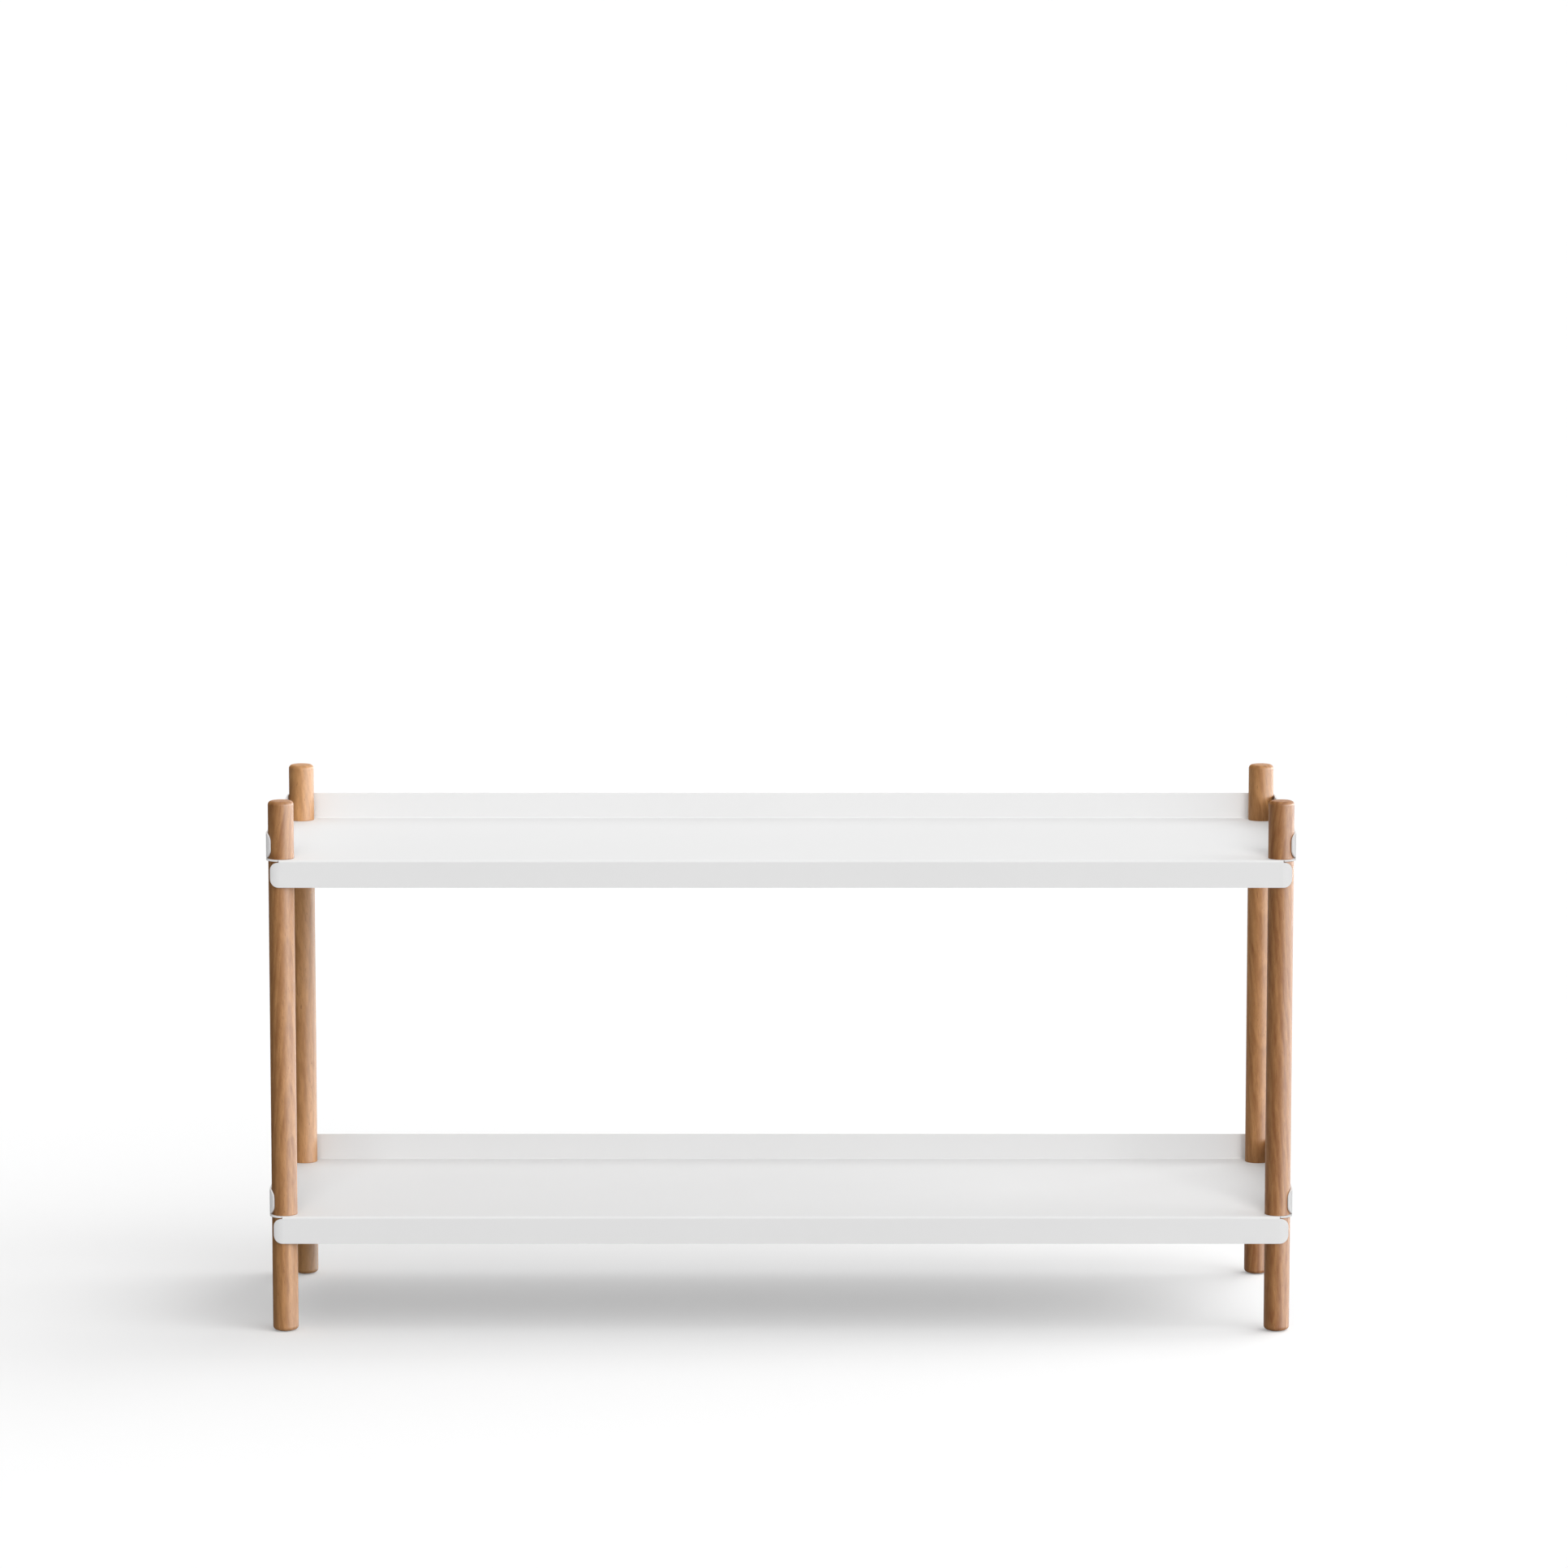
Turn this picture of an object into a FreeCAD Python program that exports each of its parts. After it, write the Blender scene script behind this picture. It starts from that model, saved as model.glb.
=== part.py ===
"""Low open shelving unit: two folded sheet-steel shelves clamped between turned oak posts.

The frame has +Z up, its origin on the floor under the middle of the unit, +X to the right and -Y to the
front. Each corner is a stack of foot, lower shelf, post, upper shelf and finial. At each shelf a stud
runs through the sheet into a threaded insert below it and another above it, so that the turned pieces
draw together on the sheet. All sizes are in millimetres.
"""

import FreeCAD, Part

import math
import os

# Shelves: one folded sheet each, upstand at the sides and back, lip hanging down at the front
SHELF_WIDTH = 1000.0  # over the side upstands
SHELF_DEPTH = 300.0  # over the front lip and the back upstand
SHEET = 1.5  # thickness of the sheet
LIP_HEIGHT = 27.0  # each fold, measured over the sheet of the deck
BEND_RADIUS = 1.0  # inside of every fold
LIP_SPLIT_ANGLE = 45.0  # where lip and upstand part at a front corner, from straight ahead
LIP_END_ROUND = 8.5  # corners at the ends of lip and upstand
LIP_NOTCH = 0.8  # slot between the deck's bare corner and a rounded lip end
STUD_HOLE = 9.0  # hole in the deck at each corner

# Turned oak: foot, post and finial of every corner
POST_DIAMETER = 25.0
POST_LENGTH = 350.0
FOOT_LENGTH = 113.5
FINIAL_LENGTH = 56.5
END_ROUND = 4.0  # free ends: foot's bottom and finial's top
JOINT_EASE = 0.2  # how far an eased edge stays clear of the fold beside it
POST_GAP = 0.5  # between the turned oak and the folds that wrap it

# Studs with a hexagon socket in the lower end
STUD_DIAMETER = 8.0
STUD_LENGTH = 36.0
STUD_CHAMFER = 0.8
STUD_SOCKET = 4.0  # across flats
STUD_SOCKET_DEPTH = 5.0

# Threaded inserts, flush with the ends of the oak
INSERT_DIAMETER = 12.0
INSERT_LENGTH = 20.0
INSERT_FLANGE_DIAMETER = 16.0
INSERT_FLANGE = 1.5
INSERT_SLOT = 2.0  # width and depth of the driving slot
DRILL_SPARE = 3.0  # depth of the drilled hole beyond what it holds

# Glides under the feet
GLIDE_DIAMETER = 14.0
GLIDE_THICKNESS = 2.5
GLIDE_PROUD = 1.0  # how far a glide stands below the oak
GLIDE_ROUND = 0.5
GLIDE_STEM_DIAMETER = 6.0
GLIDE_STEM_LENGTH = 12.0

FIT = 0.05  # radial clearance of inserts, studs and glides in what holds them

# Derived places and sizes
POST_RADIUS = POST_DIAMETER / 2
CORNER_RADIUS = POST_RADIUS + POST_GAP + SHEET  # outside of the folds round a post
POST_X = SHELF_WIDTH / 2 - CORNER_RADIUS
POST_Y = SHELF_DEPTH / 2 - CORNER_RADIUS
SPLIT = math.radians(LIP_SPLIT_ANGLE)
END_ROOM = (LIP_HEIGHT - SHEET) / 2 - LIP_NOTCH  # height that a fold leaves for each rounded corner
WRAP_ROOM = CORNER_RADIUS * math.sin(min(SPLIT, math.pi / 2 - SPLIT)) - LIP_NOTCH
LIP_END = min(LIP_END_ROUND, END_ROOM, WRAP_ROOM)  # the rounding stays within its fold
EASED_EDGE = max(BEND_RADIUS - POST_GAP, 0.0) + JOINT_EASE
STUD_REACH = (STUD_LENGTH - SHEET) / 2
INSERT_HOLE_DEPTH = max(INSERT_LENGTH, STUD_REACH) + DRILL_SPARE
FOOT_Z = GLIDE_PROUD
LOWER_SHELF_Z = FOOT_Z + FOOT_LENGTH
POST_Z = LOWER_SHELF_Z + SHEET
UPPER_SHELF_Z = POST_Z + POST_LENGTH
FINIAL_Z = UPPER_SHELF_Z + SHEET
BEYOND = 10.0  # how far a cutting tool runs past what it cuts

CORNERS = {
    "front_left": (-1, -1),
    "front_right": (1, -1),
    "rear_left": (-1, 1),
    "rear_right": (1, 1),
}

UP = FreeCAD.Vector(0, 0, 1)


def line(start, end):
    """Straight edge between two points."""
    return Part.LineSegment(start, end).toShape()


def arc(start, through, end):
    """Round edge through three points."""
    return Part.Arc(start, through, end).toShape()


def on_arc(centre, radius, degrees):
    """Point (u, v) on a circle, counted from +u towards +v."""
    turn = math.radians(degrees)
    return centre[0] + radius * math.cos(turn), centre[1] + radius * math.sin(turn)


def turned(outline):
    """Solid of revolution about Z from a list of edges in the XZ plane, closed along the axis."""
    face = Part.Face(Part.Wire(outline))
    return face.revolve(FreeCAD.Vector(0, 0, 0), UP, 360)


def half_plane(radius, height):
    """Point of a turned outline."""
    return FreeCAD.Vector(radius, 0, height)


def rounded_rod(radius, length, bottom_round, top_round):
    """Rod standing on Z = 0, with both end edges rounded."""
    bottom_flat = half_plane(radius - bottom_round, 0)
    bottom_side = half_plane(radius, bottom_round)
    bottom_mid = half_plane(*on_arc((radius - bottom_round, bottom_round), bottom_round, -45))
    top_side = half_plane(radius, length - top_round)
    top_flat = half_plane(radius - top_round, length)
    top_mid = half_plane(*on_arc((radius - top_round, length - top_round), top_round, 45))
    foot, head = half_plane(0, 0), half_plane(0, length)
    return turned(
        [
            line(foot, bottom_flat),
            arc(bottom_flat, bottom_mid, bottom_side),
            line(bottom_side, top_side),
            arc(top_side, top_mid, top_flat),
            line(top_flat, head),
            line(head, foot),
        ]
    )


def insert_hole():
    """Hole for an insert with its mouth at Z = 0, going down: drilled body and counterbore."""
    body = Part.makeCylinder(INSERT_DIAMETER / 2 + FIT, INSERT_HOLE_DEPTH)
    body.translate(UP * -INSERT_HOLE_DEPTH)
    flange = Part.makeCylinder(INSERT_FLANGE_DIAMETER / 2 + FIT, INSERT_FLANGE)
    flange.translate(UP * -INSERT_FLANGE)
    return body.fuse(flange)


def upside_down(shape):
    """Copy turned over about the X axis, so that what points down points up."""
    turned_over = shape.copy()
    turned_over.rotate(FreeCAD.Vector(0, 0, 0), FreeCAD.Vector(1, 0, 0), 180)
    return turned_over


def at_height(shape, height):
    """Copy moved up by a height."""
    moved = shape.copy()
    moved.translate(UP * height)
    return moved


def foot():
    """Lowest oak piece: rounded at the floor, with the seat of its glide and the hole of its insert."""
    rod = rounded_rod(POST_RADIUS, FOOT_LENGTH, END_ROUND, EASED_EDGE)
    pad_seat = Part.makeCylinder(GLIDE_DIAMETER / 2 + FIT, GLIDE_THICKNESS - GLIDE_PROUD)
    stem_hole = Part.makeCylinder(GLIDE_STEM_DIAMETER / 2 + FIT, glide_stem_top() + DRILL_SPARE)
    return rod.cut([pad_seat, stem_hole, at_height(insert_hole(), FOOT_LENGTH)])


def post():
    """Middle oak piece, with an insert's hole in either end."""
    rod = rounded_rod(POST_RADIUS, POST_LENGTH, EASED_EDGE, EASED_EDGE)
    return rod.cut([upside_down(insert_hole()), at_height(insert_hole(), POST_LENGTH)])


def finial():
    """Top oak piece, with an insert's hole below and a rounded end above."""
    rod = rounded_rod(POST_RADIUS, FINIAL_LENGTH, EASED_EDGE, END_ROUND)
    return rod.cut(upside_down(insert_hole()))


def insert():
    """Threaded insert with its flange's face at Z = 0 and its body going down."""
    body = Part.makeCylinder(INSERT_DIAMETER / 2, INSERT_LENGTH)
    body.translate(UP * -INSERT_LENGTH)
    flange = Part.makeCylinder(INSERT_FLANGE_DIAMETER / 2, INSERT_FLANGE)
    flange.translate(UP * -INSERT_FLANGE)
    thread = Part.makeCylinder(STUD_DIAMETER / 2 + FIT, INSERT_LENGTH)
    thread.translate(UP * -INSERT_LENGTH)
    slot = Part.makeBox(INSERT_FLANGE_DIAMETER, INSERT_SLOT, INSERT_SLOT)
    slot.translate(FreeCAD.Vector(-INSERT_FLANGE_DIAMETER / 2, -INSERT_SLOT / 2, -INSERT_SLOT))
    return body.fuse(flange).cut([thread, slot])


def stud():
    """Headless stud, centred on Z = 0, with chamfered ends and a hexagon socket in the lower one."""
    radius, half = STUD_DIAMETER / 2, STUD_LENGTH / 2
    neck = radius - STUD_CHAMFER
    corners = [
        half_plane(0, -half),
        half_plane(neck, -half),
        half_plane(radius, STUD_CHAMFER - half),
        half_plane(radius, half - STUD_CHAMFER),
        half_plane(neck, half),
        half_plane(0, half),
    ]
    sides = [line(a, b) for a, b in zip(corners, corners[1:] + corners[:1])]
    across_corners = STUD_SOCKET / math.cos(math.radians(30))
    hexagon = [on_arc((0, 0), across_corners / 2, 60 * k) for k in range(7)]
    socket = Part.Face(Part.makePolygon([FreeCAD.Vector(x, y, -half) for x, y in hexagon]))
    return turned(sides).cut(socket.extrude(UP * STUD_SOCKET_DEPTH))


def glide_stem_top():
    """Height of a glide's stem top over the foot's bottom."""
    return GLIDE_THICKNESS - GLIDE_PROUD + GLIDE_STEM_LENGTH


def glide():
    """Glide standing on Z = 0: a round pad, eased at the floor, on a stem that is pressed into the foot."""
    pad = rounded_rod(GLIDE_DIAMETER / 2, GLIDE_THICKNESS, GLIDE_ROUND, GLIDE_ROUND)
    stem = Part.makeCylinder(GLIDE_STEM_DIAMETER / 2, GLIDE_THICKNESS + GLIDE_STEM_LENGTH)
    return pad.fuse(stem).removeSplitter()


def rounded_rectangle(width, depth, radius, height):
    """Horizontal face with four round corners, centred on the Z axis."""
    x, y = width / 2 - radius, depth / 2 - radius
    edges = []
    ring = [(x, y, 0), (-x, y, 90), (-x, -y, 180), (x, -y, 270)]
    for (cx, cy, start), (nx, ny, after) in zip(ring, ring[1:] + ring[:1]):
        on_circle = [on_arc((cx, cy), radius, start + turn) for turn in (0, 45, 90)]
        first, middle, last = [FreeCAD.Vector(px, py, height) for px, py in on_circle]
        following = FreeCAD.Vector(*on_arc((nx, ny), radius, after), height)
        edges += [arc(first, middle, last), line(last, following)]
    return Part.Face(Part.Wire(edges))


def pan(width, depth, corner, bottom, height, edge_round):
    """Block with round corners whose bottom edge is rounded all the way round."""
    block = rounded_rectangle(width, depth, corner, bottom).extrude(UP * height)
    low = [e for e in block.Edges if all(abs(v.Z - bottom) < 1e-6 for v in e.Vertexes)]
    return block.makeFillet(edge_round, low)


def tray():
    """Sheet folded up on all four sides, its corners round a post, with the deck's underside at Z = 0."""
    outside = pan(SHELF_WIDTH, SHELF_DEPTH, CORNER_RADIUS, 0, LIP_HEIGHT, BEND_RADIUS + SHEET)
    inner_width, inner_depth = SHELF_WIDTH - 2 * SHEET, SHELF_DEPTH - 2 * SHEET
    inside = pan(inner_width, inner_depth, CORNER_RADIUS - SHEET, SHEET, LIP_HEIGHT, BEND_RADIUS)
    return outside.cut(inside)


def split_direction(side):
    """Level unit vector from a front post's axis to where lip and upstand part."""
    return FreeCAD.Vector(side * math.sin(SPLIT), -math.cos(SPLIT), 0)


def lip_direction(side):
    """Level unit vector square to the split, from there along the front lip."""
    return FreeCAD.Vector(-side * math.cos(SPLIT), -math.sin(SPLIT), 0)


def front_zone():
    """Upright block over the part of the plan whose edge is folded down: the front, up to both splits."""
    axes = {side: FreeCAD.Vector(side * POST_X, -POST_Y, -LIP_HEIGHT - BEYOND) for side in (-1, 1)}
    outer = {side: axes[side] + split_direction(side) * SHELF_DEPTH for side in (-1, 1)}
    plan = Part.makePolygon([axes[-1], outer[-1], outer[1], axes[1], axes[-1]])
    return Part.Face(plan).extrude(UP * 2 * (LIP_HEIGHT + BEYOND))


def end_notch(side, along, near, far):
    """Cutter that frees a fold's end from the deck at a front corner and rounds both its corners.

    The fold runs from the split along the front lip (`along` 1) or along the side upstand (`along` -1).
    It stands on the deck's face at height `near`, and its free edge is at height `far`.
    """
    axis = FreeCAD.Vector(side * POST_X, -POST_Y, 0)
    tangent = lip_direction(side) * along
    away = math.copysign(1.0, far - near)
    slot = near + away * LIP_NOTCH
    shoulder = slot + away * LIP_END
    tip = far - away * LIP_END
    beyond = far + away * BEYOND
    bow = LIP_END * math.sqrt(0.5)

    def at(u, height):
        return axis + tangent * u + UP * height

    outline = [
        arc(at(LIP_END, near), at(LIP_END + LIP_NOTCH / 2, (near + slot) / 2), at(LIP_END, slot)),
        arc(at(LIP_END, slot), at(LIP_END - bow, shoulder - away * bow), at(0, shoulder)),
        line(at(0, shoulder), at(0, tip)),
        arc(at(0, tip), at(LIP_END - bow, tip + away * bow), at(LIP_END, far)),
        line(at(LIP_END, far), at(LIP_END, beyond)),
        line(at(LIP_END, beyond), at(-BEYOND, beyond)),
        line(at(-BEYOND, beyond), at(-BEYOND, near)),
        line(at(-BEYOND, near), at(LIP_END, near)),
    ]
    return Part.Face(Part.Wire(outline)).extrude(split_direction(side) * (CORNER_RADIUS + BEYOND))


def bare_corner(side):
    """Deck's own square edge round a front post, between the slots of the two folds."""
    reach = math.degrees(math.asin((LIP_END + LIP_NOTCH / 2) / CORNER_RADIUS))
    ahead = split_direction(side)
    middle = math.degrees(math.atan2(ahead.y, ahead.x))
    sector = Part.makeCylinder(CORNER_RADIUS, SHEET, FreeCAD.Vector(0, 0, 0), UP, 2 * reach)
    sector.rotate(FreeCAD.Vector(0, 0, 0), UP, middle - reach)
    sector.translate(FreeCAD.Vector(side * POST_X, -POST_Y, 0))
    return sector


def shelf():
    """Folded shelf with the deck's underside at Z = 0: upstand at the sides and back, lip at the front."""
    upstand = tray()
    lip = at_height(upside_down(upstand), SHEET)
    zone = front_zone()
    lip_notches = [end_notch(side, 1, 0, SHEET - LIP_HEIGHT) for side in (-1, 1)]
    upstand_notches = [end_notch(side, -1, SHEET, LIP_HEIGHT) for side in (-1, 1)]
    folded_down = lip.common(zone).cut(lip_notches)
    folded_up = upstand.cut([zone] + upstand_notches)
    holes = []
    for side_x, side_y in CORNERS.values():
        hole = Part.makeCylinder(STUD_HOLE / 2, SHEET)
        hole.translate(FreeCAD.Vector(side_x * POST_X, side_y * POST_Y, 0))
        holes.append(hole)
    whole = folded_up.fuse([folded_down, bare_corner(-1), bare_corner(1)])
    return whole.cut(holes).removeSplitter()


def corner_stack():
    """Pieces of one corner on the Z axis, by node name without the corner's own ending."""
    down, up = insert(), upside_down(insert())
    mid_sheet = SHEET / 2
    return {
        "glide": glide(),
        "foot": at_height(foot(), FOOT_Z),
        "foot_insert": at_height(down, LOWER_SHELF_Z),
        "lower_stud": at_height(stud(), LOWER_SHELF_Z + mid_sheet),
        "post_lower_insert": at_height(up, POST_Z),
        "post": at_height(post(), POST_Z),
        "post_upper_insert": at_height(down, UPPER_SHELF_Z),
        "upper_stud": at_height(stud(), UPPER_SHELF_Z + mid_sheet),
        "finial_insert": at_height(up, FINIAL_Z),
        "finial": at_height(finial(), FINIAL_Z),
    }


def main():
    """Build every piece in its place and write one STEP file for each."""
    pieces = {
        "lower_shelf": at_height(shelf(), LOWER_SHELF_Z),
        "upper_shelf": at_height(shelf(), UPPER_SHELF_Z),
    }
    stack = corner_stack()
    for corner, (side_x, side_y) in CORNERS.items():
        place = FreeCAD.Vector(side_x * POST_X, side_y * POST_Y, 0)
        for name, shape in stack.items():
            piece = shape.copy()
            piece.translate(place)
            pieces[f"{name}_{corner}"] = piece
    os.makedirs("parts", exist_ok=True)
    for name, shape in pieces.items():
        shape.exportStep(os.path.join("parts", f"{name}.step"))
        print(f"{name}: {len(shape.Solids)} solid, {shape.Volume / 1000:.2f} cm3, valid {shape.isValid()}")


main()
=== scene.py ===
"""Looks of a low shelving unit: folded white steel shelves between stacked, turned oak posts."""

import logging
import math
from dataclasses import dataclass, field
from enum import Enum
from typing import Any

import bmesh
import bpy
from mathutils import Matrix, Vector


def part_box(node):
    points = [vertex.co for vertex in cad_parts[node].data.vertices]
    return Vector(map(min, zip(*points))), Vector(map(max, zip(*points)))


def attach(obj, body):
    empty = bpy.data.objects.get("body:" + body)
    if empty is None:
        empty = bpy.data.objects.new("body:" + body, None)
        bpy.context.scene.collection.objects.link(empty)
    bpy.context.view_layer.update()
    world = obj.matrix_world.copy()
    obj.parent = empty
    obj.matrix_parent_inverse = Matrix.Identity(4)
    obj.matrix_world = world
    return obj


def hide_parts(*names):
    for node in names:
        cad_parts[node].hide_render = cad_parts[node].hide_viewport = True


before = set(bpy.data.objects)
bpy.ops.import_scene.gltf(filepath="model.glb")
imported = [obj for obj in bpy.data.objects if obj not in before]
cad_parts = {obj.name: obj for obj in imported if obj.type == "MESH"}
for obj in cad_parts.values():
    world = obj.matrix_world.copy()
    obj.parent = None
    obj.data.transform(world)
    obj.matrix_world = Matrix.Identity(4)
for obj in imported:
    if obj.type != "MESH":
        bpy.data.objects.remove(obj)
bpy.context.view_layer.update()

BODY = "root"
LOG = logging.getLogger("shelving_unit")

MM = 0.001
# Points nearer than this are the same point
CLOSE = MM / 100
RIGHT_ANGLE = 90.0
UP = Vector((0.0, 0.0, 1.0))
# An edge whose faces turn by more than this counts as sharp
SHARP_ANGLE = math.radians(50.0)

# Sockets of the Mix node when it mixes colours
MIX_FACTOR, MIX_A, MIX_B, MIX_COLOUR = 0, 6, 7, 2
# Sockets of the Map Range node
FROM_LOW, FROM_HIGH, TO_LOW, TO_HIGH = 1, 2, 3, 4


class Corner(Enum):
    """Corners of the unit, as the signs of X and Y."""

    FRONT_LEFT = (-1, -1)
    FRONT_RIGHT = (1, -1)
    REAR_LEFT = (-1, 1)
    REAR_RIGHT = (1, 1)

    @property
    def suffix(self) -> str:
        """Ending of the node names of this corner."""
        return self.name.lower()


class Turning(Enum):
    """Turned oak pieces of a corner, from the floor up."""

    FOOT = "foot"
    POST = "post"
    FINIAL = "finial"


# How deep the wood of each rod is in colour, for the turnings of a corner from the floor up. This is partly
# each rod's own wood and partly painted shade: the rods that stand in more shade, the right-hand ones and the
# rear right foot most, are set deeper.
TONES_AND_SHADE: dict[Corner, tuple[float, float, float]] = {
    Corner.FRONT_LEFT: (0.26, 0.38, 0.45),
    Corner.FRONT_RIGHT: (0.57, 0.58, 0.63),
    Corner.REAR_LEFT: (0.0, 0.20, 0.08),
    Corner.REAR_RIGHT: (0.72, 0.42, 0.30),
}


class Fold(Enum):
    """Ways that the sheet is folded at the deck's edge, as the sign of Z."""

    LIP = -1
    UPSTAND = 1


class Flag(Enum):
    """What a lamp lights: names of lists of pieces, and their state among the lamp's receivers."""

    STEEL = (("shelves",), "INCLUDE")
    OAK = (("rods",), "INCLUDE")
    FLOOR = (("shelves", "rods"), "EXCLUDE")


class Share(Enum):
    """What a lamp gives: whether it lights colours and whether it shows in gloss."""

    BOTH = (True, True)
    COLOUR = (True, False)
    GLOSS = (False, True)


def linear_colour(hex_code: str) -> tuple[float, float, float, float]:
    """Turn an sRGB hex code into linear light.

    Args:
        hex_code: Six hex digits after a hash sign.

    Returns:
        Red, green, blue and an alpha of 1.
    """
    channels = [int(hex_code[i : i + 2], 16) / 255 for i in (1, 3, 5)]
    red, green, blue = [c / 12.92 if c <= 0.04045 else ((c + 0.055) / 1.055) ** 2.4 for c in channels]
    return red, green, blue, 1.0


def add_node(
    tree: bpy.types.NodeTree,
    kind: str,
    inputs: dict[Any, Any] | None = None,
    **settings: Any,
) -> bpy.types.Node:
    """Add one shader node.

    Args:
        tree: Tree that the node goes into.
        kind: Blender's name of the node's type.
        inputs: Socket names or numbers, with a constant or the output socket that feeds each.
        settings: Properties of the node.

    Returns:
        The new node.
    """
    node = tree.nodes.new(kind)
    for name, value in settings.items():
        setattr(node, name, value)
    for socket, value in (inputs or {}).items():
        if isinstance(value, bpy.types.NodeSocket):
            tree.links.new(value, node.inputs[socket])
        else:
            node.inputs[socket].default_value = value
    return node


def new_material(name: str) -> bpy.types.Material:
    """Make an empty node material.

    Args:
        name: Name of the finish.

    Returns:
        The material, with no nodes in its tree.
    """
    material = bpy.data.materials.new(name)
    material.use_nodes = True
    material.node_tree.nodes.clear()
    return material


@dataclass(frozen=True)
class Streaks:
    """Uneven streaks drawn out along a rod, each made of finer ones."""

    across_mm: float
    along_mm: float
    octaves: float
    octave_share: float = 0.55

    def draw(self, tree: bpy.types.NodeTree, wood: bpy.types.NodeSocket) -> bpy.types.NodeSocket:
        """Draw the streaks as a noise.

        Args:
            tree: Node tree of the wood.
            wood: Place in the log.

        Returns:
            A value between 0 and 1, mostly near the middle.
        """
        across, along = 1 / (self.across_mm * MM), 1 / (self.along_mm * MM)
        pulled = {0: wood, 1: (across, across, along)}
        place = add_node(tree, "ShaderNodeVectorMath", pulled, operation="MULTIPLY").outputs[0]
        noise = {"Vector": place, "Scale": 1.0, "Detail": self.octaves, "Roughness": self.octave_share}
        return add_node(tree, "ShaderNodeTexNoise", noise).outputs[0]


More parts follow.
